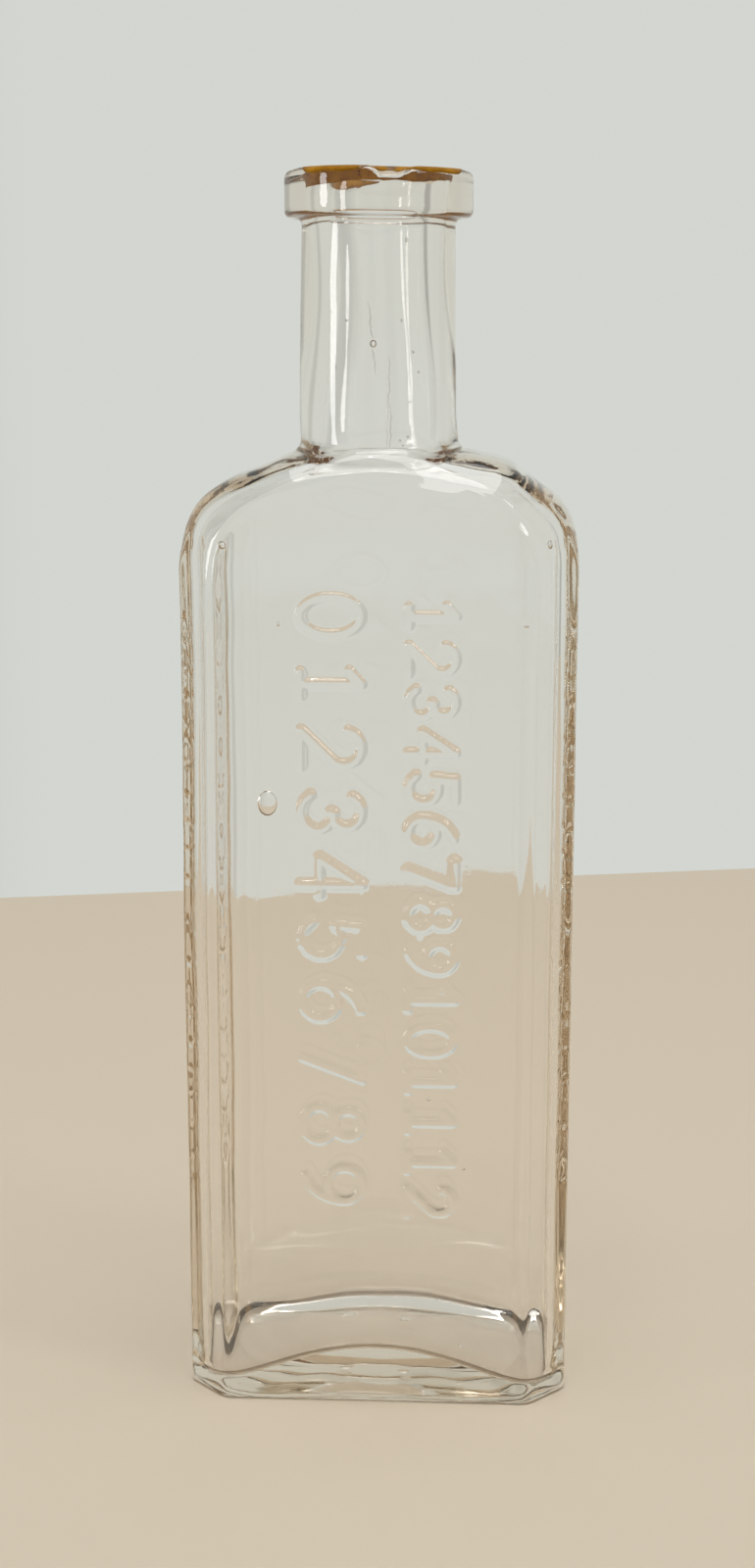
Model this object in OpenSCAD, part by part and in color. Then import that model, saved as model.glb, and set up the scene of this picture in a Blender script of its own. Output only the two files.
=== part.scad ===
// Mouth-blown rectangular medicine bottle with bevelled corners and an applied lip.
// The glass stands on z = 0, the neck's axis is the Z axis, and the front panel faces -Y.
// It is two pieces of glass: the body that was blown in the mould, and the lip that was laid
// over the end of its neck.

/* [Body] */
// Width of the body, across the two narrow side panels
body_w = 54.4; // [50:0.1:60]
// Depth of the body, from the front panel to the back panel
body_d = 32; // [29:0.1:36]
// Height of the body, up to the foot of the neck
body_h = 135.7; // [100:0.5:170]
// Width that the flat bevel takes off each vertical corner, along both sides
bevel = 5.4; // [4:0.1:7]

/* [Shoulder] */
// Radius of the turn from the upright walls to the slope of the shoulder
shoulder_r = 11; // [8:0.1:14]
// Slope of the shoulder, in degrees from level
shoulder_slope = 22; // [12:1:34]
// Radius of the hollow sweep from the shoulder up to the neck
foot_sweep = 1.8; // [1.2:0.1:2.6]

/* [Neck] */
// Length of the neck that shows between the shoulder and the lip
neck_h = 29.6; // [20:0.1:40]
// Outer diameter of the neck at its foot
neck_foot_d = 21.7; // [20:0.1:24]
// Outer diameter of the neck at its top
neck_top_d = 20.9; // [19:0.1:22]
// Diameter of the bore that takes the cork
bore_d = 12.8; // [11:0.1:14]

/* [Lip] */
// Outer diameter of the lip
lip_d = 25.6; // [24.6:0.1:30]
// Height of the lip
lip_h = 6.2; // [5.5:0.1:9]
// Depth to which the end of the neck stands inside the lip
seat_depth = 3.2; // [2:0.1:3.4]
// Radius of the rounded top edge of the lip
lip_top_round = 1.1; // [0.6:0.1:1.3]
// Radius of the rounded lower edge of the lip
lip_under_round = 0.8; // [0.4:0.1:1.2]
// Radius of the rounded mouth, where the bore meets the top of the lip
mouth_round = 1.9; // [1:0.1:2]

/* [Glass] */
// Thickness of the front and back walls
panel_wall = 2.8; // [2:0.1:3.4]
// Thickness of the two side walls
side_wall = 2.3; // [1.8:0.1:3]
// Thickness of the glass behind each bevel
bevel_wall = 1.7; // [1.4:0.1:2.2]
// Thickness of the glass over the shoulder
shoulder_wall = 2.6; // [2:0.1:3.2]
// Share of an oval in the cross-section of the hollow, which glass never lets follow the mould exactly
hollow_ease = 0.12; // [0:0.01:0.2]

/* [Base] */
// Height of the inner floor beside the two side walls
floor_edge = 2.2; // [1.8:0.1:3]
// Rise of the inner floor from the side walls to the middle of the front wall
front_rise = 5.4; // [0:0.1:6.5]
// Rise of the inner floor from the side walls to the middle of the back wall
back_rise = 2.6; // [0:0.1:6.5]
// Radius of the turn from the inner floor up into the walls
floor_sweep = 2.4; // [1.5:0.1:3]
// Width of the flat rim that the bottle stands on
rim_w = 3.4; // [2.5:0.1:5]
// Height of the hollow under the base, at its middle
under_h = 1.6; // [0.8:0.1:2]
// Radius of the rounded heel, between the rim and the walls
heel_round = 0.7; // [0.4:0.1:1.2]

/* [Hidden] */

half_w = body_w / 2;
half_d = body_d / 2;
neck_foot_r = neck_foot_d / 2;
neck_top_r = neck_top_d / 2;
bore_r = bore_d / 2;
lip_r = lip_d / 2;

lip_z = body_h + neck_h;
total_h = lip_z + lip_h;

// The hollow lies inside the outer walls by the thickness of the glass.
hollow_w = half_w - side_wall;
hollow_d = half_d - panel_wall;
hollow_bevel = bevel - side_wall - panel_wall + sqrt(2) * bevel_wall;

// Where the slope of the shoulder runs tangent into the sweep at the foot of the neck.
slope_end_r = neck_foot_r + foot_sweep * (1 - sin(shoulder_slope));
slope_end_z = body_h - foot_sweep * cos(shoulder_slope);

// The hollow closes around the lower end of the bore, one wall below the slope of the shoulder.
ceiling_r = bore_r + 0.8;
ceiling_z = slope_end_z + (slope_end_r - ceiling_r) * tan(shoulder_slope)
    - shoulder_wall / cos(shoulder_slope);

// A lofted edge stands this far outside the turned edge that it meets, so that they meet in a clean step.
loft_step = 0.08;
// A cut runs this far past the face that it opens.
cut_past = 1;

// Spans along a quarter of a cross-section: half a side panel, a bevel, and half a front panel.
side_spans = 7;
bevel_spans = 2;
panel_spans = 6;
// Rings along the curves that rise from the base to the neck.
shoulder_steps = 10;
heel_steps = 2;
floor_steps = 5;
floor_turn_steps = 4;
under_steps = 6;
// Angle round the neck over which the side panel's points spread as they reach it.
side_fan = 62;

// Fineness of the turned neck, lip and bore.
$fn = 96;

glass_tint = [0.86, 0.88, 0.84, 0.45];

// --- Cross-sections -------------------------------------------------------------------------

function between(a, b, share) = a + (b - a) * share;

// A quarter of a bevelled rectangle, from the +X axis round to the +Y axis. The side panel's
// points crowd towards the bevel, because they end up at even angles around the neck.
function bevelled_quarter(hx, hy, cut) = concat(
    [for (i = [0 : side_spans - 1]) [hx, (hy - cut) * sin(side_fan * i / side_spans) / sin(side_fan)]],
    [for (i = [0 : bevel_spans - 1]) between([hx, hy - cut], [hx - cut, hy], i / bevel_spans)],
    [for (i = [0 : panel_spans]) between([hx - cut, hy], [0, hy], i / panel_spans)]
);

// The point of the oval hx by hy that lies in the same direction as p.
function oval_point(p, hx, hy) =
    let (turn = atan2(p.y / hy, p.x / hx))
    [hx * cos(turn), hy * sin(turn)];

// A whole loop, anticlockwise from the +X axis, from the quarter that starts it.
function all_round(quarter) =
    let (last = len(quarter) - 1)
    concat(
        [for (i = [0 : last - 1]) quarter[i]],
        [for (i = [last : -1 : 1]) [-quarter[i].x, quarter[i].y]],
        [for (i = [0 : last - 1]) -quarter[i]],
        [for (i = [last : -1 : 1]) [quarter[i].x, -quarter[i].y]]
    );

// A cross-section. ease goes from 0, a bevelled rectangle, to 1, an oval.
function section(hx, hy, cut, ease = 0) =
    all_round([for (p = bevelled_quarter(hx, hy, cut)) between(p, oval_point(p, hx, hy), ease)]);

function level(points, z) = [for (p = points) [p.x, p.y, z]];

// A closed skin over rings of as many points each, from the lowest or innermost ring to the last.
module skin(rings) {
    n = len(rings[0]);
    last = len(rings) - 1;
    points = [for (ring = rings) each ring];
    sides = [
        for (r = [0 : last - 1], i = [0 : n - 1])
            let (a = r * n + i, b = r * n + (i + 1) % n)
            each [[a, a + n, b + n], [a, b + n, b]]
    ];
    first_cap = [for (i = [0 : n - 1]) i];
    last_cap = [for (i = [n - 1 : -1 : 0]) last * n + i];
    polyhedron(points, concat(sides, [first_cap, last_cap]), convexity = 6);
}

// --- The shoulder ---------------------------------------------------------------------------

// Seen from the front the shoulder is an arch: an arc that turns in from each side wall, a slope
// tangent to it, and a level stretch that carries the neck. The bevel follows the arch round, so
// that towards the front and back panels each slice of the shoulder is the same arch, inset.

// Height of the arch above the top of the side walls, at a distance x from the middle.
function arch_rise(x, hx, r, end_r, inset) =
    let (
        arc_r = r - inset,
        off_centre = x - (hx - r),
        slope_run = max(end_r, x) - (hx - r)
    )
    off_centre >= arc_r * sin(shoulder_slope)
        ? sqrt(max(0, arc_r * arc_r - off_centre * off_centre))
        : arc_r / cos(shoulder_slope) - slope_run * tan(shoulder_slope);

// The quarter of the neck's circle where the points of bevelled_quarter end up. The side panel's
// points go straight in where the circle is wide enough for that.
function landing_quarter(hy, cut, end_r) =
    let (
        side_y = min(hy - cut, 0.9 * end_r),
        side_turn = asin(side_y / end_r),
        rest = bevel_spans + panel_spans
    )
    concat(
        [
            for (i = [0 : side_spans - 1])
                let (y = side_y * sin(side_fan * i / side_spans) / sin(side_fan))
                [sqrt(end_r * end_r - y * y), y]
        ],
        [
            for (i = [0 : rest])
                let (turn = between(side_turn, 90, i / rest))
                [end_r * cos(turn), end_r * sin(turn)]
        ]
    );

// The rings of a shoulder that rises from a cross-section of the walls to a circle at end_z.
function shoulder_rings(hx, hy, cut, ease, r, end_r, end_z) =
    let (
        walls = section(hx, hy, cut, ease),
        landing = all_round(landing_quarter(hy, cut, end_r)),
        top = arch_rise(end_r, hx, r, end_r, 0)
    )
    [
        for (k = [0 : shoulder_steps]) [
            for (i = [0 : len(walls) - 1])
                let (
                    way = 1 - cos(90 * k / shoulder_steps),
                    p = between(walls[i], landing[i], way),
                    q = landing[i],
                    rise = arch_rise(abs(p.x), hx, r, end_r, max(0, abs(p.y) - hy + cut)),
                    short = top - arch_rise(abs(q.x), hx, r, end_r, max(0, abs(q.y) - hy + cut))
                )
                [p.x, p.y, end_z - top + rise + short * pow(way, 3)]
        ]
    ];

// --- The outside of the blown glass ---------------------------------------------------------

function under_ring(share) =
    level(
        section((half_w - rim_w) * share, (half_d - rim_w) * share, bevel * share, 0.3),
        under_h * (1 - share * share)
    );

function heel_ring(turn) =
    let (inset = heel_round * (1 - sin(turn)))
    level(
        section(half_w - inset, half_d - inset, bevel - inset * tan(22.5)),
        heel_round * (1 - cos(turn))
    );

outer_rings = concat(
    [for (i = [1 : under_steps]) under_ring(i / under_steps)],
    [for (i = [0 : heel_steps]) heel_ring(90 * i / heel_steps)],
    shoulder_rings(
        half_w, half_d, bevel, 0, shoulder_r, slope_end_r + loft_step, slope_end_z
    )
);

// The neck is turned, with the hollow sweep at its foot. Its straight end stands in the lip.
module turned_neck() {
    rotate_extrude()
        difference() {
            polygon([
                [0, slope_end_z],
                [slope_end_r, slope_end_z],
                [slope_end_r, body_h],
                [neck_foot_r, body_h],
                [neck_top_r, lip_z],
                [neck_top_r, lip_z + seat_depth],
                [0, lip_z + seat_depth]
            ]);
            translate([neck_foot_r + foot_sweep, body_h]) circle(foot_sweep);
        }
}

// --- The hollow -----------------------------------------------------------------------------

// The floor is arched across the width: thin beside the side walls and thick in the middle. The
// glass ran to one side as it cooled, so the arch is higher along the front wall.
function floor_z(p) = let (
        arch = pow(1 - pow(min(1, abs(p.x) / hollow_w), 2), 1.8),
        frontness = (1 - p.y / hollow_d) / 2
    )
    floor_edge + between(back_rise, front_rise, frontness) * arch;

// A ring of the floor. turn goes from 0, flat on the floor, to 90, up against the wall.
function floor_ring(share, turn = 0) = let (
        inset = floor_sweep * (1 - sin(turn)),
        hx = (hollow_w - inset) * share,
        hy = (hollow_d - inset) * share
    )
    [
        for (p = section(hx, hy, hollow_bevel * share, hollow_ease))
            [p.x, p.y, floor_z(p) + floor_sweep * (1 - cos(turn))]
    ];

hollow_rings = concat(
    [for (i = [1 : floor_steps]) floor_ring(i / floor_steps)],
    [for (i = [1 : floor_turn_steps]) floor_ring(1, 90 * i / floor_turn_steps)],
    shoulder_rings(
        hollow_w, hollow_d, hollow_bevel, hollow_ease,
        shoulder_r - shoulder_wall, ceiling_r, ceiling_z
    )
);

module bore() {
    translate([0, 0, ceiling_z - cut_past])
        cylinder(h = total_h - ceiling_z + 2 * cut_past, r = bore_r);
}

// --- The two pieces of glass ----------------------------------------------------------------

module glass_body() {
    color(glass_tint)
        difference() {
            union() {
                skin(outer_rings);
                turned_neck();
            }
            skin(hollow_rings);
            bore();
        }
}

// What a rounding of radius r takes off the corner of a quadrant that starts at the origin.
module corner_waste(r) {
    difference() {
        translate([-cut_past, -cut_past]) square(r + cut_past);
        translate([r, r]) circle(r);
    }
}

// The lip's cross-section, on the right of its axis. The neck's end fills its lower inner corner.
module lip_profile() {
    difference() {
        translate([bore_r, lip_z]) square([lip_r - bore_r, lip_h]);
        translate([0, lip_z - cut_past]) square([neck_top_r, cut_past + seat_depth]);
        translate([lip_r, lip_z]) mirror([1, 0]) corner_waste(lip_under_round);
        translate([lip_r, total_h]) mirror([1, 0]) mirror([0, 1]) corner_waste(lip_top_round);
        translate([bore_r, total_h]) mirror([0, 1]) corner_waste(mouth_round);
    }
}

module applied_lip() {
    color(glass_tint)
        rotate_extrude()
            lip_profile();
}

glass_body();
applied_lip();
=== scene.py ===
# %% [markdown]
# # An old mouth-blown medicine bottle in Blender
# The bottle is clear glass with bevelled corners, an arched shoulder, a straight neck and a lip
# that was laid on by hand. Clear glass has hardly any colour of its own, so it is drawn by its
# shape: how thick each wall is, how its corners turn, and how uneven the glassblower left it.
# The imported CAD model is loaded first, because its box settles every outer size.

# %% Load the frame
import math

import bmesh
import bpy
import numpy as np
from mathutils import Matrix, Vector, noise


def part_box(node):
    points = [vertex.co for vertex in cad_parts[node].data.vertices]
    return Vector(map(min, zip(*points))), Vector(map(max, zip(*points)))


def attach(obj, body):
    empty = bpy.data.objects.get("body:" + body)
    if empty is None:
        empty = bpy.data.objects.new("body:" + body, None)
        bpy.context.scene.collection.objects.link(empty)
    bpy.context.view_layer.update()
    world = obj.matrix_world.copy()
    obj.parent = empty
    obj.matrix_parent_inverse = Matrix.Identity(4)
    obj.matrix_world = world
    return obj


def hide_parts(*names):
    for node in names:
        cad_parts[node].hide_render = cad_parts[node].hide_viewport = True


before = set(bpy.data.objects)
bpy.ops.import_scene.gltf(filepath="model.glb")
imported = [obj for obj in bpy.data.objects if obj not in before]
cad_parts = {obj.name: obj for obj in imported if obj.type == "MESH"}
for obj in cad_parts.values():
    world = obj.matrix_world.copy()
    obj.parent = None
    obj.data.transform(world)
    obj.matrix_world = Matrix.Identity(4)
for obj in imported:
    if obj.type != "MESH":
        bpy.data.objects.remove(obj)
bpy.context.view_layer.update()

print("CAD nodes:", sorted(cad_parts))

# %% [markdown]
# ## Sizes
# Everything below is worked out in millimetres, and only the finished meshes are scaled to metres.
# The outer sizes are read from the frame. The rest are the sizes of the mould and of the glass:
# radii end in _r, and the four walls are the thickness of the glass in different places.

# %% Sizes of the bottle
MM = 0.001
body_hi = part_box("glass_body")[1]
lip_lo, lip_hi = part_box("applied_lip")

half_w = body_hi.x / MM
half_d = body_hi.y / MM
lip_r = lip_hi.x / MM
lip_z = lip_lo.z / MM
total_h = lip_hi.z / MM

body_h = 135.7
bevel = 5.4
shoulder_r = 11.0
shoulder_slope = math.radians(22)
foot_sweep = 1.8
neck_foot_r = 10.85
neck_top_r = 10.45
bore_r = 6.4

side_wall = 2.3
panel_wall = 2.8
bevel_wall = 1.7
shoulder_wall = 2.1

slope_end_r = neck_foot_r + foot_sweep * (1 - math.sin(shoulder_slope))
slope_end_z = body_h - foot_sweep * math.cos(shoulder_slope)
hollow_w = half_w - side_wall
hollow_d = half_d - panel_wall
hollow_bevel = bevel - side_wall - panel_wall + math.sqrt(2) * bevel_wall
print(f"bottle {2 * half_w:.1f} x {2 * half_d:.1f} x {total_h:.1f} mm")

# %% [markdown]
# ## Columns around the bottle
# The glass is one skin that goes up the outside, over the lip and down the inside, so it is made
# as a stack of rings with the same number of points in each. A point keeps its place in its ring
# from the base to the lip, so it draws a column. Columns stand close together at the bevels,
# where the glass turns.

# %% Where the columns stand
NEAR_CORNER = np.array([0.0, 0.35, 0.8, 1.4, 2.1])


def stretch(length, spans):
    """Column places along one straight side, in mm from its start, without its end."""
    near = NEAR_CORNER if spans > 2 else NEAR_CORNER[:4]
    middle = np.linspace(near[-1], length - near[-1], spans + 1)[1:-1]
    return np.concatenate([near, middle, (length - near[1:])[::-1]])


def column_places():
    """For each column, the side of the octagon that it stands on and its share along that side."""
    side, slant, panel = 2 * (half_d - bevel), bevel * math.sqrt(2), 2 * (half_w - bevel)
    around = [(side, 18), (slant, 2), (panel, 20), (slant, 2),
              (side, 18), (slant, 2), (panel, 38), (slant, 2)]
    return np.concatenate([k + stretch(length, spans) / length
                           for k, (length, spans) in enumerate(around)])


columns = column_places()
print(len(columns), "columns")

# %% [markdown]
# ## Cross-sections
# A cross-section is a bevelled rectangle whose corners are softened, as glass leaves a mould.
# Blurring the outline along its own length rounds every corner by the same amount, and a Fourier
# transform does that in a few lines, because the outline is a closed loop.

# %% Cross-section helpers


def octagon(hx, hy, cut):
    """Corners of a bevelled rectangle, anticlockwise from the front end of the right side."""
    return np.array([
        (hx, cut - hy), (hx, hy - cut), (hx - cut, hy), (cut - hx, hy),
        (-hx, hy - cut), (-hx, cut - hy), (cut - hx, -hy), (hx - cut, -hy),
    ])


def sharp_section(hx, hy, cut):
    """The columns' places on a bevelled rectangle with sharp corners."""
    corners = octagon(hx, hy, cut)
    k = columns.astype(int)
    share = (columns - k)[:, None]
    return corners[k] * (1 - share) + corners[(k + 1) % 8] * share


def soft_section(hx, hy, cut, blur):
    """The same with the corners blurred, where blur is about the radius of the rounding."""
    corners = octagon(hx, hy, cut)
    closed = np.vstack([corners, corners[:1]])
    run = np.concatenate([[0], np.cumsum(np.linalg.norm(np.diff(closed, axis=0), axis=1))])
    samples = np.linspace(0, run[-1], 4096, endpoint=False)
    k = columns.astype(int)
    at = run[k] + (columns - k) * (run[k + 1] - run[k])
    wave = 2 * math.pi * np.fft.rfftfreq(len(samples), run[-1] / len(samples))
    loop = []
    for axis in range(2):
        spectrum = np.fft.rfft(np.interp(samples, run, closed[:, axis]))
        smooth = np.fft.irfft(spectrum * np.exp(-0.5 * (wave * blur) ** 2), len(samples))
        loop.append(np.interp(at, samples, smooth, period=run[-1]))
    return np.array(loop).T


def level(points, z):
    """A ring of points at one height, or at a height of its own for each point."""
    return np.column_stack([points, np.broadcast_to(z, len(points))])


def landing_turns(hx, hy, cut, end_r):
    """The angle around the neck where each column arrives, from the nearer end of the X axis."""
    ax, ay = np.abs(sharp_section(hx, hy, cut)).T
    side_y = min(hy - cut, 0.9 * end_r)
    side_turn = math.asin(side_y / end_r)
    slant = cut * math.sqrt(2)
    on_slant = np.hypot(hx - ax, ay - hy + cut)
    walked = np.where(ay < hy - 1e-6, on_slant, slant + hx - cut - ax) / (slant + hx - cut)
    on_side = ay <= hy - cut + 1e-6
    turn_on_side = np.arcsin(np.clip(ay / (hy - cut), 0, 1) * side_y / end_r)
    return np.where(on_side, turn_on_side, side_turn + (math.pi / 2 - side_turn) * walked)


corner_signs = np.sign(np.round(sharp_section(half_w, half_d, bevel), 6))
turns = landing_turns(half_w, half_d, bevel, slope_end_r)
neck_directions = np.column_stack([np.cos(turns), np.sin(turns)]) * corner_signs
closeness = (neck_directions * np.roll(neck_directions, 1, axis=0)).sum(axis=1).min()
print("widest gap between columns on the neck:",
      round(math.degrees(math.acos(closeness)), 1), "degrees")

# %% [markdown]
# ## The shoulder
# Seen from the front the shoulder is an arch: an arc that turns in from each side wall, then a
# slope that carries the neck. The bevel follows the arch round, so towards the front and back
# panels each slice is the same arch, set in. The inside of the shoulder has the same form, one
# wall smaller, so one function draws both.

# %% Shoulder rings
RIDGE_SOFT, CREST_SOFT = 2.6, 1.9  # mm over which the arch's edge and its crest turn
SHOULDER_STEPS, HOLLOW_STEPS = 18, 16


def softly_over(value, width):
    """The value where it is above zero and 0 where it is below, with a soft turn between."""
    return (value + np.hypot(value, width)) / 2


def arch_rise(x, hx, r, end_r, inset):
    """Height of the arch above the top of the side walls, at a distance x from the middle."""
    arc_r = r - inset
    off_centre = x - (hx - r)
    crest = end_r + softly_over(x - end_r, CREST_SOFT * inset) - CREST_SOFT * inset * 0.08
    slope_run = crest - (hx - r)
    on_arc = np.sqrt(np.maximum(0, arc_r ** 2 - off_centre ** 2))
    on_slope = arc_r / math.cos(shoulder_slope) - slope_run * math.tan(shoulder_slope)
    return np.where(off_centre >= arc_r * math.sin(shoulder_slope), on_arc, on_slope)


def shoulder_rings(walls, landing, hx, hy, cut, r, end_z, steps):
    """Rings from the top of the walls to a circle, which is the ring called landing."""
    end_r = np.hypot(*landing[0])
    top = arch_rise(end_r, hx, r, end_r, 0)

    def rise(place):
        """Height of the arch at each point, which sinks towards the front and back panels."""
        inset = softly_over(np.abs(place[:, 1]) - hy + cut, RIDGE_SOFT)
        inset = inset - softly_over(cut - hy, RIDGE_SOFT)
        return arch_rise(np.abs(place[:, 0]), hx, r, end_r, inset)

    rings = []
    for k in range(steps + 1):
        way = 1 - math.cos(math.pi / 2 * k / steps)
        place = walls * (1 - way) + landing * way
        height = end_z - top + rise(place) + (top - rise(landing)) * way ** 3
        rings.append(level(place, height))
    return rings


def up_the_walls(section, foot, heights, shoulder):
    """Rings from the foot of the walls, a height for each column, up to the shoulder."""
    first, last, top = heights[0], heights[-1], shoulder[0][:, 2]
    rings = [level(section, foot + (first - foot) * share) for share in (0.3, 0.65)]
    rings += [level(section, z) for z in heights]
    return rings + [level(section, last + (top - last) * share) for share in (0.25, 0.5, 0.75)]


def circle(r, z, spread):
    """A ring around the neck's axis, whose columns stand in the directions of spread."""
    return level(r * spread, z)


def arc(centre_r, centre_z, radius, start, end, steps):
    """Points (r, z) along an arc, with angles in degrees from level outwards."""
    angles = np.radians(np.linspace(start, end, steps + 1))
    return [(centre_r + radius * math.cos(a), centre_z + radius * math.sin(a)) for a in angles]


crest_h = float(arch_rise(slope_end_r, half_w, shoulder_r, slope_end_r, 0))
print("the arch rises", round(crest_h, 1), "mm over the side walls")

# %% [markdown]
# ## The outside
# A blown bottle stands on a narrow rim, because the middle of its base is pushed up a little so
# that it can't rock. The walls rise straight from a small rounded heel.

# %% Outside of the body and neck
rim_w, under_h, heel_round = 3.4, 1.6, 0.7
CORNER_SOFT, HEEL_NARROWS = 0.7, 0.41  # the bevel narrows by a share of the heel's inset

outside = []
for share in (0.05, 0.2, 0.36, 0.5, 0.64, 0.76, 0.86, 0.94, 1.0):
    hx, hy = (half_w - rim_w) * share, (half_d - rim_w) * share
    base = soft_section(hx, hy, bevel * share, 2 * share)
    outside.append(level(base, 0.02 + under_h * (1 - share ** 2)))
for lift in np.radians((0, 22, 45, 68)):
    inset = heel_round * (1 - math.sin(lift))
    ring = soft_section(half_w - inset, half_d - inset, bevel - HEEL_NARROWS * inset,
                        CORNER_SOFT)
    outside.append(level(ring, heel_round * (1 - math.cos(lift))))

outer_walls = soft_section(half_w, half_d, bevel, CORNER_SOFT)
outer_shoulder = shoulder_rings(outer_walls, slope_end_r * neck_directions,
                                half_w, half_d, bevel, shoulder_r, slope_end_z, SHOULDER_STEPS)
wall_heights = np.concatenate([
    [3, 4.6, 6.4, 8.4, 10.6, 13, 15.5, 18.2, 21, 24],
    np.arange(26.5, 119, 1.02),
])
outside += up_the_walls(outer_walls, heel_round, wall_heights, outer_shoulder)
shoulder_start = len(outside)
outside += outer_shoulder

sweep = arc(neck_foot_r + foot_sweep, body_h, foot_sweep,
            270 - math.degrees(shoulder_slope), 180, 6)[1:]
FILLET = 0.9
neck = [(neck_foot_r + (neck_top_r - neck_foot_r) * t, body_h + (lip_z - FILLET - body_h) * t)
        for t in np.concatenate([np.linspace(0, 0.94, 18)[1:], [0.965, 0.985, 1.0]])]
fillet = arc(neck_top_r + FILLET, lip_z - FILLET, FILLET, 180, 90, 5)[1:]
outside += [circle(r, z, neck_directions) for r, z in sweep + neck + fillet]
print(len(outside), "rings up the outside")

# %% [markdown]
# ## The lip
# The lip was a band of hot glass wound round the end of the neck and pressed flat with a tool,
# so its edges are round and its top is not quite level. Its mouth widens towards the top, which
# guides the cork in.

# %% Lip and mouth
under_round, top_round, mouth_round = 0.8, 1.1, 1.9

lip_edge = arc(lip_r - under_round, lip_z + under_round, under_round, 270, 360, 4)
lip_edge += [(lip_r, lip_z + h) for h in (1.4, 2.2, 3.0, 3.8, 4.5)]
lip_edge += arc(lip_r - top_round, total_h - top_round, top_round, 0, 90, 5)
lip_edge += [(r, total_h) for r in (11.2, 10.6, 10.0, 9.4, 8.9)]
lip_edge += arc(bore_r + mouth_round, total_h - mouth_round, mouth_round, 90, 180, 6)
lip_rings = [circle(r, z, neck_directions) for r, z in lip_edge]
print(len(lip_rings), "rings over the lip")

# %% [markdown]
# ## The inside
# Blown glass follows the mould on the outside only. The inside is rounder than the outside, the
# floor is arched and thick in its middle, and the glass ran towards the front as it cooled.

# %% Inside, from the mouth down to the floor
floor_edge, front_rise, back_rise, floor_sweep = 1.2, 6.0, 3.4, 1.5
HOLLOW_EASE, INNER_SOFT = 0.12, 1.9
ceiling_r = 9.2
ceiling_z = (slope_end_z + (slope_end_r - ceiling_r) * math.tan(shoulder_slope)
             - shoulder_wall / math.cos(shoulder_slope))


def eased(points, hx, hy):
    """A cross-section drawn a little towards the oval that fits in it."""
    turn = np.arctan2(points[:, 1] / hy, points[:, 0] / hx)
    oval = np.column_stack([hx * np.cos(turn), hy * np.sin(turn)])
    return points + (oval - points) * HOLLOW_EASE


def floor_z(points):
    """Height of the arched floor."""
    arch = (1 - np.minimum(1, np.abs(points[:, 0]) / hollow_w) ** 2) ** 1.8
    frontness = (1 - points[:, 1] / hollow_d) / 2
    return floor_edge + (back_rise + (front_rise - back_rise) * frontness) * arch


def floor_ring(share, lift=0.0):
    """A ring of the floor, lifted from flat on it (0) to upright against the wall (90)."""
    inset = floor_sweep * (1 - math.sin(math.radians(lift)))
    hx, hy = (hollow_w - inset) * share, (hollow_d - inset) * share
    ring = eased(soft_section(hx, hy, hollow_bevel * share, INNER_SOFT * share), hx, hy)
    return level(ring, floor_z(ring) + floor_sweep * (1 - math.cos(math.radians(lift))))


hollow_turns = landing_turns(hollow_w, hollow_d, hollow_bevel, ceiling_r)
hollow_directions = np.column_stack([np.cos(hollow_turns), np.sin(hollow_turns)]) * corner_signs
inner_walls = eased(soft_section(hollow_w, hollow_d, hollow_bevel, INNER_SOFT), hollow_w, hollow_d)
inner_shoulder = shoulder_rings(inner_walls, ceiling_r * hollow_directions, hollow_w, hollow_d,
                                hollow_bevel, shoulder_r - shoulder_wall, ceiling_z,
                                HOLLOW_STEPS)

BORE = [  # height and radius of the bore, which widens towards the shoulder
    (total_h - mouth_round, bore_r), (166.0, 6.35), (160.0, 6.0), (155.0, 6.05), (150.0, 6.6),
    (145.0, 7.3), (140.0, 7.7), (136.5, 7.9), (134.6, 8.2), (133.3, 8.7),
]
BORE_RINGS = 27
bore_heights, bore_radii = np.array(BORE[::-1]).T
inside = []
for t in np.linspace(0, 1, BORE_RINGS + 1)[1:]:
    mixed = turns + (hollow_turns - turns) * t
    spread = np.column_stack([np.cos(mixed), np.sin(mixed)]) * corner_signs
    z = bore_heights[-1] + (bore_heights[0] - bore_heights[-1]) * t
    ring = circle(float(np.interp(z, bore_heights, bore_radii)), z, spread)
    ring[:, 0] += 0.3 * math.sin((z - 133) / 9)  # the bore isn't quite straight
    inside.append(ring)
inside += inner_shoulder[::-1]
heights = np.concatenate([np.linspace(13, 30, 7), np.linspace(34, 117, 24)])
inside += up_the_walls(inner_walls, floor_ring(1, 90)[:, 2], heights, inner_shoulder)[::-1]
inside += [floor_ring(1, lift) for lift in (90, 70, 50, 32, 15, 0)]
inside += [floor_ring(share) for share in (0.93, 0.84, 0.74, 0.63, 0.5, 0.36, 0.2, 0.05)]
print(len(inside), "rings down the inside")

# %% [markdown]
# ## Softening the edges
# The rings meet in sharp creases at the heel, at the foot of the shoulder and under the lip.
# Hot glass has none, so each column is smoothed along its own length by a weighted mean of its
# neighbours. Straight stretches stay straight, and only the creases round off. The turns of the
# shoulder towards the front and back panels are the softest, inside even more than outside.

# %% Smooth each column
skin = np.array(outside + lip_rings + inside)
ring_count, column_count = skin.shape[:2]
ring_index = np.arange(ring_count)
outer_end = len(outside)
inner_start = outer_end + len(lip_rings)
is_inside = (ring_index >= inner_start)[:, None]


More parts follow.
